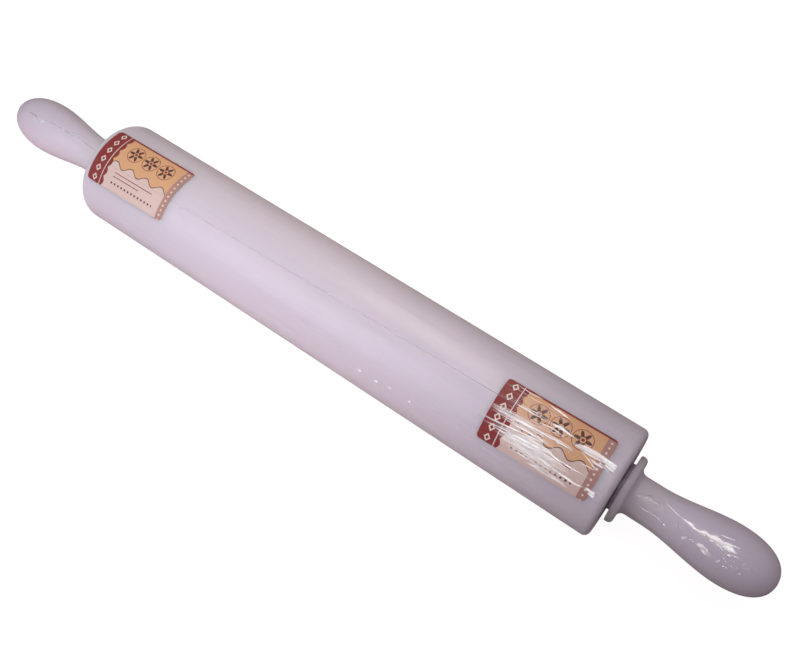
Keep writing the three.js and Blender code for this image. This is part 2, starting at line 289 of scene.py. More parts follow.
# %% Wrapping
label_lift = 0.12 * mm
label_thickness = 0.14 * mm
label_width = 45 * mm
label_corner = 2.5 * mm
label_cuts = 48
corner_steps = 6
paper_radius = barrel_radius + label_lift


def at(x, angle, radius):
    """A point of the pin: along X, at an angle from the front up over the top, at a radius."""
    return Vector((x, -radius * math.cos(angle), axis_height + radius * math.sin(angle)))


def angle_of(point):
    """The angle of a point round the pin's axis, from the front up over the top."""
    return math.atan2(point.z - axis_height, -point.y)


print("paper lies at", round(paper_radius / mm, 2), "mm from the axis")

# %% Labels
label_length = {"left": 74 * mm, "right": 79.3 * mm}
label_turn = {"left": math.radians(71.1), "right": math.radians(63.4)}
label_skew = {"left": math.radians(1.1), "right": math.radians(1.5)}
label_slide = {"left": 0, "right": -2.7 * mm}
label_middle = {}
for side, slide in label_slide.items():
    low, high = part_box(f"{side}_label")
    label_middle[side] = (low.x + high.x) / 2 + slide


def on_label(side, x, angle):
    """The place of a point in a label's own flat sheet, along and across from its middle."""
    flat = Vector((x - label_middle[side], (angle - label_turn[side]) * barrel_radius))
    flat.rotate(Matrix.Rotation(-label_skew[side], 2))
    return flat


labels = {}
for side, length in label_length.items():
    work = bmesh.new()
    bmesh.ops.create_grid(work, x_segments=1, y_segments=1, size=0.5)
    bmesh.ops.scale(work, vec=(length, label_width, 1), verts=work.verts)
    bmesh.ops.bevel(
        work, geom=work.verts[:], offset=label_corner, affect="VERTICES", segments=corner_steps,
        profile=0.5, material=-1,
    )
    for cut in range(1, label_cuts):
        height = label_width * (cut / label_cuts - 0.5)
        everything = work.verts[:] + work.edges[:] + work.faces[:]
        bmesh.ops.bisect_plane(work, geom=everything, plane_co=(0, height, 0), plane_no=(0, 1, 0))
    bmesh.ops.rotate(work, verts=work.verts, matrix=Matrix.Rotation(label_skew[side], 3, "Z"))
    for vert in work.verts:
        angle = label_turn[side] + vert.co.y / barrel_radius
        vert.co = at(label_middle[side] + vert.co.x, angle, paper_radius)
    bmesh.ops.recalc_face_normals(work, faces=work.faces)
    bmesh.ops.solidify(work, geom=work.faces[:], thickness=-label_thickness)
    flat_place = work.loops.layers.uv.new("print")
    for face in work.faces:
        for loop in face.loops:
            flat = on_label(side, loop.vert.co.x, angle_of(loop.vert.co))
            loop[flat_place].uv = (flat.x / length + 0.5, flat.y / label_width + 0.5)
    label = finished(f"{side}_paper_label", work)
    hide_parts(f"{side}_label")
    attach(label, "barrel")
    labels[side] = label
    radii = [math.hypot(v.co.y, v.co.z - axis_height) for v in label.data.vertices]
    print(label.name, "radius", round(min(radii) / mm, 3), "to", round(max(radii) / mm, 3), "mm")

# %% [markdown]
# ## The film's height
#
# Clear film is shrunk onto the whole pin. It lies a few hundredths of a millimetre off the plastic, rises
# over each label, and puckers where it had too much to shrink. It is cut at the slits beside the flanges, so
# that the barrel is still free to turn. One function says how far out the film lies at any place, so the
# film and every fold on it agree.

# %% Film height
film_gap = 0.06 * mm
film_step = 1.6 * mm
film_ripple = 0.018 * mm
label_top = label_lift + label_thickness


def smooth(low, high, value):
    """0 below low, 1 above high, and an easy slope between them."""
    share = min(max((value - low) / (high - low), 0), 1)
    return share * share * (3 - 2 * share)


def over_label(x, angle):
    """1 where the film lies on a label, easing to 0 just outside the label's edge."""
    cover = 0
    for side, length in label_length.items():
        flat = on_label(side, x, angle)
        inside = min(length / 2 - abs(flat.x), label_width / 2 - abs(flat.y))
        cover = max(cover, smooth(-film_step, 0, inside))
    return cover


handle_line = handle_surface(film_gap)


def handle_radius(along):
    """The film's radius on a handle, a distance out from the flange's face."""
    for (x_low, r_low), (x_high, r_high) in zip(handle_line, handle_line[1:]):
        if x_low <= along <= x_high and x_high > x_low:
            return r_low + (r_high - r_low) * (along - x_low) / (x_high - x_low)
    return handle_line[0][1] if along < handle_line[0][0] else 0


def film_radius(x, angle):
    """How far from the pin's axis the film lies."""
    if abs(x) > barrel_end:
        return handle_radius(abs(x) - flange_face)
    past_rim = max(abs(x) - rim_centre[0], 0)
    fall = barrel_end_round - math.sqrt(max(barrel_end_round**2 - past_rim**2, 0))
    return barrel_radius + film_gap + label_top * over_label(x, angle) - fall


def on_film(x, angle, lift):
    """A point of the film, lifted off it."""
    return at(x, angle, film_radius(x, angle) + lift)


print("film lies at", round(film_radius(0, 0) / mm, 2), "mm from the axis on the bare barrel")

# %% [markdown]
# ## The film's three sleeves
#
# The barrel's sleeve turns in over both rims. Faint lengthwise ripples give it the uneven gleam of shrunk
# film. The handles' sleeves are looser: noise lifts them off the moulding in small crumples, which fade
# towards the flange. Each one is a sheet of one layer.

# %% Barrel sleeve
film_turn_in = 32 * mm
film_column = 2.5 * mm
ripple_along, ripple_round = 12, 11
sleeve_steps = 224

columns = int(2 * rim_centre[0] / film_column)
sleeve_line = [(barrel_end + film_gap, film_turn_in)]
sleeve_line += arc(rim_centre, barrel_end_round + film_gap, 0, 90)
sleeve_half = [(rim_centre[0] * (1 - 2 * k / columns), barrel_radius + film_gap) for k in range(1, columns)]
sleeve_line += sleeve_half + mirrored(sleeve_line)
work = spun(sleeve_line, False, sleeve_steps)
for vert in work.verts:
    x = vert.co.x
    if abs(x) > rim_centre[0]:
        continue
    angle = angle_of(vert.co)
    ripple = noise.noise(Vector(
        (x * ripple_along, math.cos(angle) * ripple_round, math.sin(angle) * ripple_round)))
    vert.co = on_film(x, angle, film_ripple * (ripple + 0.5))
    vert.co.z = max(vert.co.z, 0)
barrel_film = finished("barrel_film", work)
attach(barrel_film, "barrel")
print(barrel_film.name, len(barrel_film.data.polygons), "faces")

# %% Handle sleeves
tip_hole = 6 * mm
crumple_height = 0.22 * mm
crumple_size = 7 * mm
crumple_fall, crumple_fineness, crumple_layers = 0.9, 2.1, 4
crumple_share = {"left": 0.6, "right": 1.0}

films = [barrel_film]
for side, direction in (("left", -1), ("right", 1)):
    covered = [(u, r) for u, r in handle_line if u < bulb_place or r > tip_hole]
    line = [(direction * (flange_face + u), r) for u, r in covered]
    work = spun(line, False, handle_steps)
    for vert in work.verts:
        out = Vector((0, vert.co.y, vert.co.z - axis_height)).normalized()
        rise = noise.fractal(vert.co / crumple_size, crumple_fall, crumple_fineness, crumple_layers)
        loose = smooth(flange_thickness, neck_end, abs(vert.co.x) - flange_face)
        vert.co += out * max(rise, 0) * crumple_height * crumple_share[side] * loose
    film = finished(f"{side}_handle_film", work)
    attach(film, "axle")
    films.append(film)
    print(film.name, len(film.data.polygons), "faces")

# %% [markdown]
# ## Folds in the film
#
# Where film shrinks unevenly it stands up in pleats, and the side of a pleat that faces the lamp shows as a
# white streak. A pleat is a narrow grid laid along a line on the film. One side of it is steep, and the other
# leans so that it mirrors the lamp towards the eye. Its ends are pinched, and its whiteness is kept as an
# attribute; this white is partly a painted highlight, set where the film gleams. A wide pleat is flat across,
# so that all of it turns white at once. A broad wedge is a bundle of many thin pleats side by side, as it is
# in the real film.

# %% Lines on the film
degree_length = 0.5


def along_line(line, share):
    """The place (x, angle) a share of the way along a line of (x in mm, degrees from the front)."""
    legs = [math.hypot(x1 - x0, degree_length * (t1 - t0)) for (x0, t0), (x1, t1) in zip(line, line[1:])]
    rest, leg = share * sum(legs), 0
    while leg < len(legs) - 1 and rest > legs[leg]:
        rest -= legs[leg]
        leg += 1
    (x0, t0), (x1, t1) = line[leg], line[leg + 1]
    part = min(rest / legs[leg], 1)
    return (x0 + (x1 - x0) * part) * mm, math.radians(t0 + (t1 - t0) * part)


print("a degree counts as", degree_length, "mm along a line")

# %% One pleat
fewest_pieces = 8
pleat_across = 4
pleat_piece = 1.2 * mm
pleat_lift = 0.03 * mm
pleat_crown = 0.01
steep_side = 0.75
tear_pitch, sway_pitch = 0.35, 0.4
sway_share = 0.4
edge_fade, end_fade = 0.4, 1.6
lamp_turn = math.radians(76)
steepest = math.radians(36)
chance = random.Random(4)


def pinched(share, blunt):
    """A pleat's share of its full width: pointed at both ends, or cut off bluntly."""
    if blunt:
        return min(share * 5, (1 - share) * 25, 1)
    return max(math.sin(math.pi * share), 0) ** 0.6


def pleat(work, line, width, white, ragged=0.4, blunt=False, leaning=True):
    """Adds one pleat along a line of (x in mm, degrees from the front), as wide as its width in mm."""
    pieces = max(fewest_pieces, int(abs(line[-1][0] - line[0][0]) * mm / pleat_piece))
    grid = bmesh.ops.create_grid(work, x_segments=pieces, y_segments=pleat_across, size=0.5)["verts"]
    fold_white_and_glint = work.verts.layers.float["fold_white_and_glint"]
    seed = chance.uniform(0, 90)
    for vert in grid:
        share, side = min(max(vert.co.x + 0.5, 0), 1), vert.co.y * 2
        x, angle = along_line(line, share)
        pinch = pinched(share, blunt)
        tear = noise.noise(Vector((share * pieces * tear_pitch, seed, side * 0.5)))
        wide = width * mm * pinch * (1 + ragged * tear)
        sway = noise.noise(Vector((share * pieces * sway_pitch, seed + 9, 0)))
        shift = ragged * width * mm * sway_share * sway
        lean = min(max(lamp_turn - angle, -steepest), steepest) if leaning else 0
        face = side if lean > 0 else -side
        reach, radius = side * wide / 2, film_radius(x, angle)
        rise = 0
        if face > -steep_side:
            rise = math.tan(abs(lean)) * wide / 2 * (1 - face) + reach**2 / (2 * radius)
        angle += (reach + shift) / radius
        middle = 1 - side * side
        vert.co = on_film(x, angle, pleat_lift + rise + pleat_crown * wide * middle)
        torn = 1 - ragged * max(-tear, 0)
        # The white kept on each point is partly a painted highlight.
        vert[fold_white_and_glint] = white * middle**edge_fade * min(pinch * end_fade, 1) * torn


print("pleats lean at most", round(math.degrees(steepest)), "degrees")

# %% Many pleats
pleat_weld = 1e-9


def pleated(name, body, rows):
    """One mesh of many pleats that rides on a body."""
    work = bmesh.new()
    work.verts.layers.float.new("fold_white_and_glint")
    for row in rows:
        pleat(work, **row)
    piece = finished(name, work, pleat_weld)
    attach(piece, body)
    print(name, len(rows), "pleats")
    return piece


def bundle(upper, lower, count, width, white):
    """Pleats that fill the space between two lines."""
    rows = []
    for number in range(count):
        share = (number + chance.uniform(0.1, 0.9)) / count
        start, end = chance.uniform(0, 0.3), chance.uniform(0.65, 1)
        ends = []
        for part in (start, (start + end) / 2, end):
            (x0, t0), (x1, t1) = along_line(upper, part), along_line(lower, part)
            ends.append(((x0 + (x1 - x0) * share) / mm, math.degrees(t0 + (t1 - t0) * share)))
        thickness, brightness = chance.uniform(0.6, 1.4), chance.uniform(0.6, 1)
        rows.append(dict(line=ends, width=width * thickness, white=white * brightness))
    return rows


def rows_of(rows, **extra):
    """Pleats from rows of (line, width in mm, whiteness), all with the same extra settings."""
    return [dict(line=line, width=width, white=white, **extra) for line, width, white in rows]


print("pleats are welded within", pleat_weld, "m")

# %% [markdown]
# ## The fan over the right label
#
# On the right label the pleats spread like a fan from its left edge. The points of the strongest lines were
# picked out in the photograph, most by eye and a few by a search for bright streaks. A separate script carried
# them onto the film through the camera's fit, and they are rounded to whole millimetres and degrees. Each line
# also has its width in millimetres and its whiteness, which is partly a painted highlight. Bundles make the
# broad white wedges and fill the rest with thin pleats. Two groups of blunt pleats at the right end mirror the
# lamp whole, and wide faint ones lay a veil over the print. Along the bare barrel there are only faint lines
# and a few bright specks.

# %% Fan lines
# The white of these fan lines is partly a painted highlight.
fan = rows_of([
    ([(132, 47), (147, 50), (163, 52), (179, 54), (188, 53), (212, 54)], 1.5, 1.0),
    ([(133, 51), (149, 54), (164, 57), (176, 59)], 1.6, 0.95),
    ([(133, 62), (146, 63), (164, 65), (189, 67), (193, 66)], 1.8, 1.0),
    ([(128, 50), (135, 52), (145, 54)], 0.8, 0.8),
    ([(167, 34), (175, 36), (184, 36), (192, 37), (202, 36)], 2.0, 1.0),
    ([(172, 37), (186, 38), (198, 38)], 0.9, 0.8),
    ([(153, 44), (166, 45), (179, 45), (203, 43)], 1.3, 0.9),
    ([(179, 45), (191, 44), (203, 43), (211, 45)], 1.7, 1.0),
    ([(140, 92), (151, 92), (160, 94)], 0.9, 0.7),
    ([(164, 92), (175, 91), (181, 90)], 1.3, 1.0),
    ([(172, 78), (179, 79), (184, 78), (189, 78)], 2.4, 1.0),
    ([(164, 72), (173, 74), (179, 74), (185, 72)], 1.0, 0.9),
    ([(146, 76), (154, 76), (163, 76)], 1.0, 0.8),
    ([(195, 71), (202, 68), (211, 63)], 0.9, 0.9),
    ([(201, 68), (207, 65), (212, 63)], 0.9, 0.9),
    ([(203, 69), (209, 68), (214, 68)], 2.0, 1.0),
    ([(208, 71), (214, 69), (219, 66)], 0.9, 0.9),
    ([(171, 67), (181, 68), (194, 68)], 1.1, 0.8),
    ([(150, 58), (162, 60), (177, 60)], 1.5, 1.0),
    ([(175, 56), (181, 55), (186, 52)], 1.4, 1.0),
    ([(152, 63), (163, 65), (182, 67)], 1.0, 0.9),
    ([(168, 51), (180, 51), (193, 52)], 1.1, 0.9),
    ([(158, 56), (166, 56), (174, 55)], 1.0, 1.0),
    ([(198, 61), (210, 63)], 0.9, 0.8),
    ([(151, 76), (165, 80)], 0.8, 0.8),
])
print("fan has", len(fan), "strong lines")

# %% Fan bundles and veils
# The blunt pleats lean to mirror the lamp, and their full white is also a painted highlight.
blunt_drop = 0.8
fan += rows_of([([(x0, turn + blunt_drop), (x1, turn)], width, 1.0) for x0, x1, turn, width in (
    (206, 220, 75.5, 2.2), (209, 220, 73, 2.3), (212, 220, 70.5, 2.1),
    (209, 218, 44.5, 2.3), (212, 218, 42, 2.2),
)], ragged=0.15, blunt=True)
for upper, lower, count, width, white in (
    ([(140, 50), (162, 55), (175, 58), (187, 57)], [(140, 46), (157, 46), (168, 47), (187, 50)], 9, 1.5, 1.0),
    ([(189, 76), (216, 79)], [(189, 70), (216, 73)], 7, 1.3, 0.8),
    ([(129, 66), (183, 72)], [(129, 58), (193, 60)], 13, 0.8, 0.75),
    ([(137, 47), (202, 52)], [(147, 38), (205, 39)], 14, 0.8, 0.75),
    ([(128, 88), (187, 90)], [(127, 70), (197, 72)], 9, 0.6, 0.6),
):
    fan += bundle(upper, lower, count, width, white)
fan += rows_of([
    ([(135, 48), (162, 51), (189, 54)], 7.0, 0.28), ([(147, 44), (177, 46), (209, 46)], 5.0, 0.3),
    ([(137, 61), (167, 64), (197, 66)], 5.5, 0.25), ([(189, 73), (205, 74), (217, 75)], 5.0, 0.5),
], leaning=False)
print("fan and its ends make", len(fan), "pleats")

# %% Faint lines and specks on the barrel
# Faint white lines along the barrel: partly a painted sheen.
faint_count = 26
glint_reach, glint_climb = 1.6, 0.6
for number in range(faint_count):
    x0, turn0 = chance.uniform(-60, 170), chance.uniform(8, 36)
    line = [(x0, turn0), (x0 + chance.uniform(15, 50), turn0 + chance.uniform(-1, 1.5))]
    width, white = chance.uniform(0, 1), chance.uniform(0.1, 0.25)
    fan.append(dict(line=line, width=width, white=white, leaning=False))
# Bright specks: tiny puckers whose white is a painted glint.
for x0, turn0 in ((43, 19), (57, 19), (68, 21), (84, 20)):
    line = [(x0 - glint_reach, turn0), (x0 + glint_reach, turn0 + glint_climb)]
    fan.append(dict(line=line, width=1.1, white=0.8))
barrel_pleats = pleated("barrel_film_pleats", "barrel", fan)

# %% [markdown]
# ## Pleats on the handles, and the seam
#
# The film sits loosest on the right handle, where it broke into ragged white strokes and small specks, whose
# white is partly a painted highlight. The left handle has one long jagged crease, grey as painted shade, and
# white where its layers part, partly as a painted highlight. Two short grey creases on the right handle are
# painted shade too. The seam where the film was welded is a single low ridge from end to end of the barrel,
# drawn grey as painted shade. The points of these lines were picked in the photograph and carried over through
# the camera's fit.

# %% Strokes on the right handle
# White strokes on the right handle: leaning pleats whose white is partly a painted highlight.
painted_glint_strokes = rows_of([
    ([(255, 89), (267, 76)], 0.9, 0.9),
    ([(267, 76), (274, 72), (277, 69), (282, 71), (290, 73)], 3.4, 1.0),
])
painted_glint_strokes += rows_of([
    ([(280, 71), (290, 72), (303, 73)], 6.0, 1.0),
], ragged=0.6)
painted_glint_strokes += rows_of([
    ([(284, 74), (291, 76), (299, 78), (306, 82)], 2.4, 1.0),
    ([(292, 70), (299, 71), (306, 71)], 4.4, 1.0),
], ragged=0.7)
painted_glint_strokes += rows_of([
    ([(291, 85), (301, 90)], 1.0, 0.9),
    ([(273, 40), (277, 45)], 3.2, 1.0),
    ([(281, 46), (284, 48), (287, 46), (290, 44), (295, 43)], 4.2, 1.0),
    ([(297, 41), (299, 46)], 3.0, 1.0),
    ([(294, 66), (298, 62)], 1.3, 0.9),
    ([(300, 60), (303, 63)], 2.2, 1.0),
    ([(302, 64), (308, 67)], 0.9, 0.9),
    ([(305, 48), (308, 47)], 1.0, 0.8),
    ([(310, 58), (312, 65)], 0.9, 0.7),
    ([(240, 43), (255, 46), (261, 40)], 0.7, 0.5),
    ([(260, 41), (262, 39)], 1.2, 1.0),
])
painted_glint_strokes += rows_of([
    ([(237, 67), (247, 71), (252, 76)], 2.2, 0.4),
], leaning=False)
print("right handle has", len(painted_glint_strokes), "painted_glint_strokes")

# %% Specks on the right handle
# Specks are tiny pleats whose white is a painted glint.
glint_speck_reach, glint_speck_tilt = 0.8, 2
# The narrowest and the widest speck are alike here. Two other bounds would let them vary.
narrowest_glint_speck, widest_glint_speck = 1, 1
for x0, turn0 in (
    (278, 46), (280, 45), (300, 51), (302, 49), (302, 41), (304, 41), (313, 55),
    (315, 60), (317, 62), (321, 64), (323, 47), (309, 51), (312, 44), (306, 55),
):
    start, end = (turn0 + chance.uniform(-glint_speck_tilt, glint_speck_tilt) for tip in range(2))
    line = [(x0 - glint_speck_reach, start), (x0 + glint_speck_reach, end)]
    painted_glint_strokes.append(dict(line=line, width=chance.uniform(narrowest_glint_speck, widest_glint_speck), white=0.7))
right_pleats = pleated("right_handle_film_pleats", "axle", painted_glint_strokes)

# %% Creases and seam
crease = [
    (-313, 65), (-306, 66), (-301, 65), (-297, 68), (-291, 72), (-278, 74),
    (-272, 76), (-268, 81), (-262, 79), (-238, 74),
]
# White bits where the left crease parts; their white is partly a painted highlight.
parted_with_painted_glint = [([(-304, 63), (-300, 63), (-294, 68)], 3.0, 1.0), ([(-273, 74), (-266, 81)], 2.4, 1.0)]
left_pleats = pleated("left_handle_film_pleats", "axle", rows_of(parted_with_painted_glint, ragged=0.9))
neck_crease = [(239, 76), (243, 78), (246, 84), (249, 77), (252, 79), (255, 68)]
bulb_crease = [(266, 68), (269, 54), (272, 46)]
# Grey creases: painted shade along the folds, on the left and the right handle.
painted_shade_creases = [
    (crease[:4], 1.7, 0.35), (crease[3:6], 0.7, 0.35), (crease[5:8], 1.3, 0.35), (crease[7:], 0.7, 0.35),
    (neck_crease, 0.9, 0.35), (bulb_crease, 0.9, 0.35),
]
handle_creases = pleated("handle_film_creases", "axle", rows_of(painted_shade_creases, ragged=0.9, leaning=False))
# The seam's grey line is painted shade on a real low ridge.
ridge_line = [(-218, 62), (216, 77)]
seam = pleated("film_seam", "barrel", rows_of([(ridge_line, 0.5, 0.3)], ragged=0.0, leaning=False))

# %% [markdown]
# ## Helpers for materials
#
# Every surface is drawn by nodes in the object's own space, so it stays with the piece when it turns.
# Three effects are shared: the faint cloud and grain of moulded plastic, the fine rings that a lathe leaves,
# and the lengthwise streaks of stretched film, which are partly a painted sheen. Each is a node group that
# gives out plain masks.

# %% Node helpers
Socket = bpy.types.NodeSocket


def give(tree, value, socket):
    """Link a socket to an input, or set the input's own value."""
    if isinstance(value, Socket):
        tree.links.new(value, socket)
    else:
        socket.default_value = value


def figure(tree, operation, *values):
    """A math node."""
    node = tree.nodes.new("ShaderNodeMath")
    node.operation = operation
    for value, socket in zip(values, node.inputs):
        give(tree, value, socket)
    return node.outputs[0]


def tint(tree, share, under, over):
    """Two colours mixed by a share."""
    node = tree.nodes.new("ShaderNodeMix")
    node.data_type = "RGBA"
    for value, socket in zip((share, under, over), (node.inputs[0], node.inputs[6], node.inputs[7])):
        give(tree, value, socket)
    return node.outputs[2]


def ranged(tree, value, low, high):
    """A mask from 0 to 1, moved to the range from low to high."""
    return figure(tree, "MULTIPLY_ADD", value, high - low, low)


def grainy(tree, vector, scale, detail=3.0):
    """A noise texture's value."""
    node = tree.nodes.new("ShaderNodeTexNoise")
    give(tree, vector, node.inputs["Vector"])
    give(tree, scale, node.inputs["Scale"])
    node.inputs["Detail"].default_value = detail
    return node.outputs["Fac"]


def stretched(tree, vector, scale):
    """A vector scaled by a different amount along each axis."""
    node = tree.nodes.new("ShaderNodeMapping")
    give(tree, vector, node.inputs["Vector"])
    node.inputs["Scale"].default_value = scale
    return node.outputs["Vector"]


print("node helpers: give, figure, tint, ranged, grainy, stretched")

# %% Group and material helpers


def object_place(tree):
    """The piece's own coordinates."""
    return tree.nodes.new("ShaderNodeTexCoord").outputs["Object"]


def masks(name, inputs, outputs):
    """A node group with float inputs {name: value} and float outputs, and its input and output nodes."""
    group = bpy.data.node_groups.new(name, "ShaderNodeTree")
    for socket, value in inputs.items():
        made = group.interface.new_socket(name=socket, in_out="INPUT", socket_type="NodeSocketFloat")
        made.default_value = value
    for socket in outputs:
        group.interface.new_socket(name=socket, in_out="OUTPUT", socket_type="NodeSocketFloat")
    return group, group.nodes.new("NodeGroupInput"), group.nodes.new("NodeGroupOutput")


def use(tree, group, **values):
    """A node that uses a group of masks."""
    node = tree.nodes.new("ShaderNodeGroup")
    node.node_tree = group
    for socket, value in values.items():
        give(tree, value, node.inputs[socket])
    return node.outputs


def material(name):
    """A new material's node tree and its shader."""
    made = bpy.data.materials.new(name)
    made.use_nodes = True
    return made, made.node_tree, made.node_tree.nodes["Principled BSDF"]


def bumped(tree, height, distance, strength=1.0):
    """A normal from a height mask."""
    node = tree.nodes.new("ShaderNodeBump")
    give(tree, height, node.inputs["Height"])
    node.inputs["Distance"].default_value = distance
    node.inputs["Strength"].default_value = strength
    return node.outputs["Normal"]


def shade(tree, shader, values):
    """Give a shader's inputs their links or their plain values, by name."""
    for name, value in values.items():
        give(tree, value, shader.inputs[name])


print("group and material helpers: object_place, masks, use, material, bumped, shade")

# %% Shared effects
moulded, inside, outside = masks("moulded_grain", {"Scale": 900.0}, ["Cloud", "Grain"])
place = object_place(moulded)
give(moulded, grainy(moulded, place, 11.0, 2.0), outside.inputs["Cloud"])
give(moulded, grainy(moulded, place, inside.outputs["Scale"], 2.0), outside.inputs["Grain"])

lathed, inside, outside = masks("lathe_rings", {"Scale": 900.0}, ["Rings"])
split = lathed.nodes.new("ShaderNodeSeparateXYZ")
give(lathed, object_place(lathed), split.inputs[0])
up = figure(lathed, "SUBTRACT", split.outputs["Z"], axis_height)
span = figure(lathed, "SQRT", figure(lathed, "MULTIPLY_ADD", up, up, figure(
    lathed, "MULTIPLY", split.outputs["Y"], split.outputs["Y"])))
flat = lathed.nodes.new("ShaderNodeCombineXYZ")
give(lathed, split.outputs["X"], flat.inputs[0])
give(lathed, span, flat.inputs[1])
give(lathed, grainy(lathed, flat.outputs[0], inside.outputs["Scale"]), outside.inputs["Rings"])

# The Streaks mask is partly the film's own haze and partly a painted sheen.
drawn, inside, outside = masks("film_streaks_and_sheen", {"Scale": 1.0}, ["Streaks", "Specks"])
place = object_place(drawn)
long_place = stretched(drawn, place, (9, 330, 330))
give(drawn, grainy(drawn, long_place, inside.outputs["Scale"]), outside.inputs["Streaks"])
give(drawn, grainy(drawn, place, 240.0, 4.0), outside.inputs["Specks"])
print("node groups:", [group.name for group in (moulded, lathed, drawn)])

# %% [markdown]
# ## Plastic
#
# The barrel and handles are white polyethylene that takes on the lilac of the room. Light enters it a
# centimetre or more, so its shade is soft. The film pressed onto it adds a thin gloss, which is given as a
# coat. Seals and cages are plastic too, in their own colours, and share the moulded grain.

# %% Plastic
grain_height = 0.02 * mm
light_reach = 15 * mm


def plastic(name, pale, deep, rough, scale=900.0, depth=0.0, coat=0.0):
    """A moulded plastic with a faint cloud of two tones and a fine grain."""
    made, tree, shader = material(name)
    grain = use(tree, moulded, Scale=scale)
    shade(tree, shader, {
        "Base Color": tint(tree, grain["Cloud"], (*deep, 1), (*pale, 1)),
        "Roughness": ranged(tree, grain["Grain"], rough - 0.06, rough + 0.06),
        "Normal": bumped(tree, grain["Grain"], grain_height, 0.3),
        "Subsurface Weight": depth,
        "Subsurface Radius": (1.0, 0.85, 0.95),
        "Subsurface Scale": light_reach,
        "Coat Weight": coat,
        "Coat Roughness": 0.18,
    })
    return made


looks = {
    "barrel_plastic": plastic(
        "barrel_plastic", (0.80, 0.735, 0.845), (0.76, 0.69, 0.80), 0.42, 900.0, 1.0, 0.25),
    "handle_plastic": plastic(
        "handle_plastic", (0.78, 0.72, 0.83), (0.73, 0.67, 0.78), 0.42, 900.0, 1.0, 0.25),
    "cage_nylon": plastic("cage_nylon", (0.82, 0.76, 0.62), (0.74, 0.67, 0.52), 0.5, 1500.0),
    "seal_rubber": plastic("seal_rubber", (0.022, 0.022, 0.025), (0.012, 0.012, 0.014), 0.75, 2500.0),
}
print("plastics:", sorted(looks))

# %% [markdown]
# ## Metal
#
# The axle, sleeves, clips, bearings and inserts are turned or ground. The lathe's rings vary both tone and
# roughness, because a turned surface shines in bands.

# %% Metal
ring_height = 0.04 * mm


def metal(name, bright, dull, rough, scale):
    """A turned metal with fine rings."""
    made, tree, shader = material(name)
    rings = use(tree, lathed, Scale=scale)["Rings"]
    shade(tree, shader, {
        "Base Color": tint(tree, rings, (*dull, 1), (*bright, 1)),
        "Roughness": ranged(tree, rings, rough - 0.08, rough + 0.1),
        "Normal": bumped(tree, rings, ring_height, 0.4),
        "Metallic": 1,
    })
    return made


metals = {
    "turned_steel": metal("turned_steel", (0.56, 0.57, 0.60), (0.40, 0.41, 0.43), 0.34, 1600.0),
    "spring_steel": metal("spring_steel", (0.11, 0.11, 0.12), (0.07, 0.07, 0.08), 0.42, 900.0),
    "bearing_steel": metal("bearing_steel", (0.66, 0.67, 0.70), (0.55, 0.56, 0.59), 0.2, 2600.0),
    "insert_brass": metal("insert_brass", (0.72, 0.52, 0.22), (0.56, 0.39, 0.15), 0.33, 1700.0),
}
looks.update(metals)
print("metals:", sorted(metals))

# %% [markdown]
# ## The print on the labels
#
# The sticker is printed in wine red, peach, pale pink and cream. Its plain ornament is a scalloped band with
# a column of diamonds, a row of rosettes, a waved border and a few dots and rules. Every shape is a sum of
# two lengths, along and across the label in millimetres, so it stays sharp at any size.

# %% Print helpers
print_length, print_width = 76.0, 45.0
made, tree, shader = material("label_paper")
flat_uv = tree.nodes.new("ShaderNodeUVMap")
flat_uv.uv_map = "print"
split = tree.nodes.new("ShaderNodeSeparateXYZ")
give(tree, flat_uv.outputs[0], split.inputs[0])
along = figure(tree, "MULTIPLY", split.outputs[0], print_length)
across = figure(tree, "MULTIPLY", split.outputs[1], print_width)


def between(value, low, high):
    """1 where a value lies between two bounds."""
    return figure(tree, "MULTIPLY", figure(tree, "GREATER_THAN", value, low), figure(
        tree, "LESS_THAN", value, high))


def both(first, second):
    """1 where two masks are 1, or the product of two lengths."""
    return figure(tree, "MULTIPLY", first, second)


def from_line(value, middle, pitch):
    """The distance to the nearest of many lines, one at middle and more at each pitch."""
    shifted = figure(tree, "ADD", value, pitch * 20 - middle)
    return figure(tree, "PINGPONG", shifted, pitch / 2)


def dot(first, second, radius):
    """1 within a radius of the place where two distances are 0."""
    reach = figure(tree, "MULTIPLY_ADD", first, first, figure(tree, "MULTIPLY", second, second))
    return figure(tree, "LESS_THAN", reach, radius * radius)


wine, peach, pale = (0.275, 0.008, 0.011, 1), (0.807, 0.445, 0.231, 1), (0.807, 0.610, 0.565, 1)
brown, dark, cream = (0.515, 0.262, 0.224, 1), (0.107, 0.023, 0.016, 1), (0.871, 0.759, 0.672, 1)
print("print is drawn on a sheet of", print_length, "by", print_width, "mm")

# %% Ground and waved border
wave_length, wave_height = 15.0, 2.0
border_height, border_half = 20.0, 0.35

wave = figure(tree, "SINE", figure(tree, "MULTIPLY", along, math.tau / wave_length))
border = figure(tree, "MULTIPLY_ADD", wave, wave_height, border_height)
colour = tint(tree, figure(tree, "GREATER_THAN", across, border), pale, peach)
from_border = figure(tree, "ABSOLUTE", figure(tree, "SUBTRACT", across, border))
colour = tint(tree, figure(tree, "LESS_THAN", from_border, border_half), colour, dark)
print("border has", round(print_length / wave_length, 1), "waves")

# %% Rosettes
row_start, row_end, row_height = 20.0, 65.0, 33.5
rosette_pitch, petal_count = 15.0, 6.0
petal_middle, petal_swing = 4.2, 1.9
eye_radius, heart_radius = 1.9, 1.1
hoop_inside, hoop_outside = 6.5, 6.95

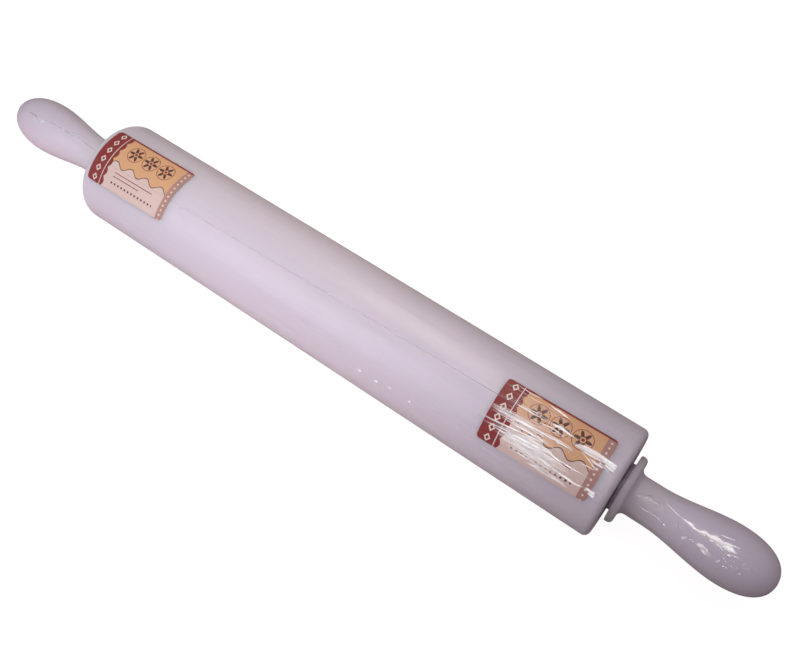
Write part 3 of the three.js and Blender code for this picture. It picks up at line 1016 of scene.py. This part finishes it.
in_pitch = figure(tree, "MODULO", figure(tree, "SUBTRACT", along, row_start), rosette_pitch)
petal_x = figure(tree, "SUBTRACT", in_pitch, rosette_pitch / 2)
petal_y = figure(tree, "SUBTRACT", across, row_height)
petal_turn = figure(tree, "MULTIPLY", figure(tree, "ARCTAN2", petal_y, petal_x), petal_count)
petal_reach = figure(tree, "SQRT", figure(tree, "MULTIPLY_ADD", petal_x, petal_x, both(petal_y, petal_y)))
petal_edge = figure(tree, "MULTIPLY_ADD", figure(tree, "COSINE", petal_turn), petal_swing, petal_middle)
in_row = between(along, row_start, row_end)
petals = both(figure(tree, "LESS_THAN", petal_reach, petal_edge), in_row)
petals = both(petals, figure(tree, "GREATER_THAN", petal_reach, eye_radius))
colour = tint(tree, petals, colour, dark)
colour = tint(tree, both(dot(petal_x, petal_y, heart_radius), in_row), colour, wine)
colour = tint(tree, both(between(petal_reach, hoop_inside, hoop_outside), in_row), colour, wine)
print("row has", round((row_end - row_start) / rosette_pitch), "rosettes")

# %% Rules and dots
rule_start, rule_half = 22.0, 0.3
rule_ends = {14.0: 60.0, 11.0: 48.0}
first_dot, dot_pitch, dot_height, dot_radius = 23.0, 3.4, 6.2, 0.85
dots_start, dots_end = 21.0, 64.0

for height, end in rule_ends.items():
    rule = both(between(across, height - rule_half, height + rule_half), between(along, rule_start, end))
    colour = tint(tree, rule, colour, wine)
dots = dot(from_line(along, first_dot, dot_pitch), figure(tree, "SUBTRACT", across, dot_height), dot_radius)
colour = tint(tree, both(dots, between(along, dots_start, dots_end)), colour, dark)
print("rules:", len(rule_ends))

# %% Bands at the ends
strip_start, bud_line, bud_pitch, bud_radius = 70.0, 73.0, 3.75, 0.8
top_edge = 43.6
band_end, scallop_depth, scallop_pitch = 14.0, 1.7, 7.5
lozenge_line, lozenge_slope = 6.6, 1.25
lozenge_outside, lozenge_inside = 2.9, 1.5
stripe_start, stripe_end = 11.6, 12.2

colour = tint(tree, figure(tree, "GREATER_THAN", along, strip_start), colour, brown)
buds = dot(figure(tree, "SUBTRACT", along, bud_line), from_line(across, bud_pitch, bud_pitch), bud_radius)
colour = tint(tree, buds, colour, cream)
colour = tint(tree, figure(tree, "GREATER_THAN", across, top_edge), colour, wine)
scallop = figure(tree, "SINE", figure(tree, "MULTIPLY", across, math.pi / scallop_pitch))
band_edge = figure(tree, "MULTIPLY_ADD", figure(tree, "ABSOLUTE", scallop), scallop_depth, band_end)
colour = tint(tree, figure(tree, "LESS_THAN", along, band_edge), colour, wine)
lozenge_x = figure(tree, "ABSOLUTE", figure(tree, "SUBTRACT", along, lozenge_line))
lozenge_y = from_line(across, scallop_pitch / 2, scallop_pitch)
lozenge = figure(tree, "MULTIPLY_ADD", lozenge_x, lozenge_slope, lozenge_y)
colour = tint(tree, figure(tree, "LESS_THAN", lozenge, lozenge_outside), colour, cream)
colour = tint(tree, figure(tree, "LESS_THAN", lozenge, lozenge_inside), colour, wine)
colour = tint(tree, between(along, stripe_start, stripe_end), colour, cream)
print("band has", round(print_width / scallop_pitch), "lozenges")

# %% Paper
fibre_height = 0.03 * mm

fibre = use(tree, moulded, Scale=2200.0)
shade(tree, shader, {
    "Base Color": tint(tree, ranged(tree, fibre["Grain"], 0.0, 0.03), colour, pale),
    "Roughness": ranged(tree, fibre["Grain"], 0.42, 0.6),
    "Normal": bumped(tree, fibre["Grain"], fibre_height, 0.3),
    "Coat Weight": 0.15,
    "Coat Roughness": 0.15,
    "Specular IOR Level": 0.35,
})
looks["label_paper"] = made
print("print has", len(tree.nodes), "nodes")

# %% [markdown]
# ## The film's look
#
# Clear film hardly shows: a thin veil, a little stronger along its streaks, which are partly a painted sheen.
# Along its folds two or three layers lie together, so they are whiter and hide more of what is below, and that
# white is partly a painted highlight. The creases and the seam are drawn in grey as painted shade. Film lets
# light through however it scatters it, so its pieces throw no shadow on what they cover.

# %% Film
clear_film, tree, shader = material("clear_film")
streaks = use(tree, drawn, Scale=1.0)
# The veil is whiter along the streaks, partly as a painted sheen.
veil = figure(tree, "POWER", streaks["Streaks"], 3.0)
shade(tree, shader, {
    "Base Color": tint(tree, streaks["Specks"], (0.86, 0.83, 0.90, 1), (0.95, 0.93, 0.97, 1)),
    "Alpha": ranged(tree, veil, 0.02, 0.11),
    "Roughness": ranged(tree, streaks["Specks"], 0.10, 0.22),
})

# Folded film: whiter where layers lie together, and partly a painted highlight where the film gleams.
folded_film_and_painted_glint, tree, shader = material("folded_film_and_painted_glint")
streaks = use(tree, drawn, Scale=2.0)
ridge = tree.nodes.new("ShaderNodeAttribute")
ridge.attribute_name = "fold_white_and_glint"
uneven = ranged(tree, streaks["Streaks"], 0.6, 1.3)
shade(tree, shader, {
    "Base Color": tint(tree, streaks["Streaks"], (0.90, 0.86, 0.92, 1), (1.0, 0.98, 1.0, 1)),
    "Alpha": figure(tree, "MULTIPLY", ridge.outputs["Fac"], uneven),
    "Roughness": ranged(tree, streaks["Specks"], 0.10, 0.22),
    "IOR": 2.4,
    "Specular IOR Level": 0.8,
})

# Grey film for the creases and the seam: painted shade.
painted_shade_film, tree, shader = material("painted_shade_film")
streaks = use(tree, drawn, Scale=2.0)
shade(tree, shader, {
    "Base Color": tint(tree, streaks["Streaks"], (0.42, 0.37, 0.38, 1), (0.62, 0.57, 0.60, 1)),
    "Alpha": ranged(tree, streaks["Streaks"], 0.15, 0.6),
    "Roughness": 0.4,
})

film_looks = {
    clear_film: films,
    folded_film_and_painted_glint: [barrel_pleats, right_pleats, left_pleats],
    painted_shade_film: [handle_creases, seam],
}
for look, pieces in film_looks.items():
    for piece in pieces:
        piece.data.materials.append(look)
        piece.visible_shadow = False
    print(look.name, "on", len(pieces), "pieces")

# %% [markdown]
# ## Each piece its material
#
# The record names a material slot for every node. The new pieces take the look of the node they stand for,
# and the solids inside the pin, which keep their own meshes, take theirs.

# %% Dress the pieces
for row in frame["record"]["subparts"]:
    node = frame["nodes"][row["node"]]
    node.data.materials.clear()
    node.data.materials.append(looks[row["material_slot"]])
barrel.data.materials.append(looks["barrel_plastic"])
for side in ("left", "right"):
    handles[side].data.materials.append(looks["handle_plastic"])
    labels[side].data.materials.append(looks["label_paper"])
print("dressed", len(frame["nodes"]), "nodes")

# %% [markdown]
# ## The floor
#
# The floor is a plain sheet that looks pale to the camera but throws back only a little warm light, as the
# table under the real pin did. A plain white floor would light the underside of the barrel too much.

# %% Floor
floor_radius, floor_steps = 4, 96
floor_glow = 0.92
backdrop_colour = (0.985, 0.995, 1, 1)

work = bmesh.new()
bmesh.ops.create_circle(work, cap_ends=True, segments=floor_steps, radius=floor_radius)
floor = finished("floor", work)

made, tree, shader = material("pale_floor")
seen = tree.nodes.new("ShaderNodeLightPath").outputs["Is Camera Ray"]
shade(tree, shader, {
    "Base Color": (0.34, 0.28, 0.25, 1),
    "Roughness": 0.9,
    "Emission Color": backdrop_colour,
    "Emission Strength": figure(tree, "MULTIPLY", seen, floor_glow),
})
floor.data.materials.append(made)
print("floor is", round(floor.dimensions.x, 1), "m across")

# %% [markdown]
# ## The light
#
# A broad cool panel at the front and a yellow one over the back light the left half of the pin, and their
# narrowed spread keeps them off the right end. A long strip overhead is what the pleats lean towards, and a
# square lamp beside the camera lights the right end with it. Three dim lamps only lift the shade: one low at
# the front, one low by the left handle, and a narrow one on the barrel. They would show as hard lines in the
# glossy film, so they are left out of its reflections.

# %% Lamps
white, cool, yellow = (1.0, 1.0, 1.0), (0.81, 0.91, 1.0), (1.0, 0.95, 0.75)
warm, rosy = (1.0, 0.88, 0.82), (1.0, 0.75, 0.72)


def panel(name, place, aim, size, power, colour, spread=180, gleams=True):
    """A soft light that faces a point and spreads over so many degrees, seen in gloss or not."""
    data = bpy.data.lights.new(name, "AREA")
    data.shape = "RECTANGLE"
    data.size, data.size_y = size
    data.energy = power
    data.color = colour
    data.spread = math.radians(spread)
    lamp = bpy.data.objects.new(name, data)
    lamp.location = place
    lamp.visible_glossy = gleams
    lamp.rotation_euler = (Vector(aim) - Vector(place)).to_track_quat("-Z", "Y").to_euler()
    bpy.context.scene.collection.objects.link(lamp)


panel("front_panel", (-0.26, -0.40, 0.34), (-0.14, 0, 0.05), (0.42, 0.42), 0.39, cool, spread=100)
panel("back_panel", (-0.08, 0.20, 0.50), (-0.10, 0, 0.05), (0.26, 0.26), 0.27, yellow, spread=100)
panel("strip_lamp", (0.20, -0.01, 0.78), (0.20, 0, 0.05), (0.52, 0.14), 0.45, white)
panel("eye_lamp", (0.25, -0.31, 0.66), (0.20, 0, 0.05), (0.16, 0.16), 0.18, white)
panel("front_near_panel", (-0.04, -0.28, 0.06), (-0.04, 0, 0.05), (0.24, 0.06), 0.24, warm, gleams=False)
panel("left_card", (-0.34, -0.13, 0.012), (-0.30, 0, 0.035), (0.14, 0.06), 0.07, rosy, gleams=False)
panel("middle_lamp", (0.12, -0.36, 0.80), (0.12, 0, 0.05), (0.10, 0.10), 0.009, white, spread=20, gleams=False)

# %% [markdown]
# ## The room
#
# A dim rosy room fills the shade from above and fades out towards the floor. The camera sees a pale backdrop
# in its place. The picture is shown without a film look, so colours stay close to those that are set here.

# %% Room
room_strength = 0.31
room_fade = 1.6

world = bpy.data.worlds.new("soft_room")
world.use_nodes = True
tree = world.node_tree
room = tree.nodes["Background"]
split = tree.nodes.new("ShaderNodeSeparateXYZ")
give(tree, tree.nodes.new("ShaderNodeTexCoord").outputs["Generated"], split.inputs[0])
rise = figure(tree, "MULTIPLY", split.outputs["Z"], room_fade)
give(tree, tint(tree, rise, (0.02, 0.02, 0.02, 1), (1.0, 0.87, 0.93, 1)), room.inputs["Color"])
room.inputs["Strength"].default_value = room_strength
backdrop = tree.nodes.new("ShaderNodeBackground")
backdrop.inputs["Color"].default_value = backdrop_colour
chosen = tree.nodes.new("ShaderNodeMixShader")
give(tree, tree.nodes.new("ShaderNodeLightPath").outputs["Is Camera Ray"], chosen.inputs[0])
give(tree, room.outputs[0], chosen.inputs[1])
give(tree, backdrop.outputs[0], chosen.inputs[2])
give(tree, chosen.outputs[0], tree.nodes["World Output"].inputs["Surface"])
bpy.context.scene.world = world
bpy.context.scene.view_settings.view_transform = "Standard"
print("room has", len(tree.nodes), "nodes")
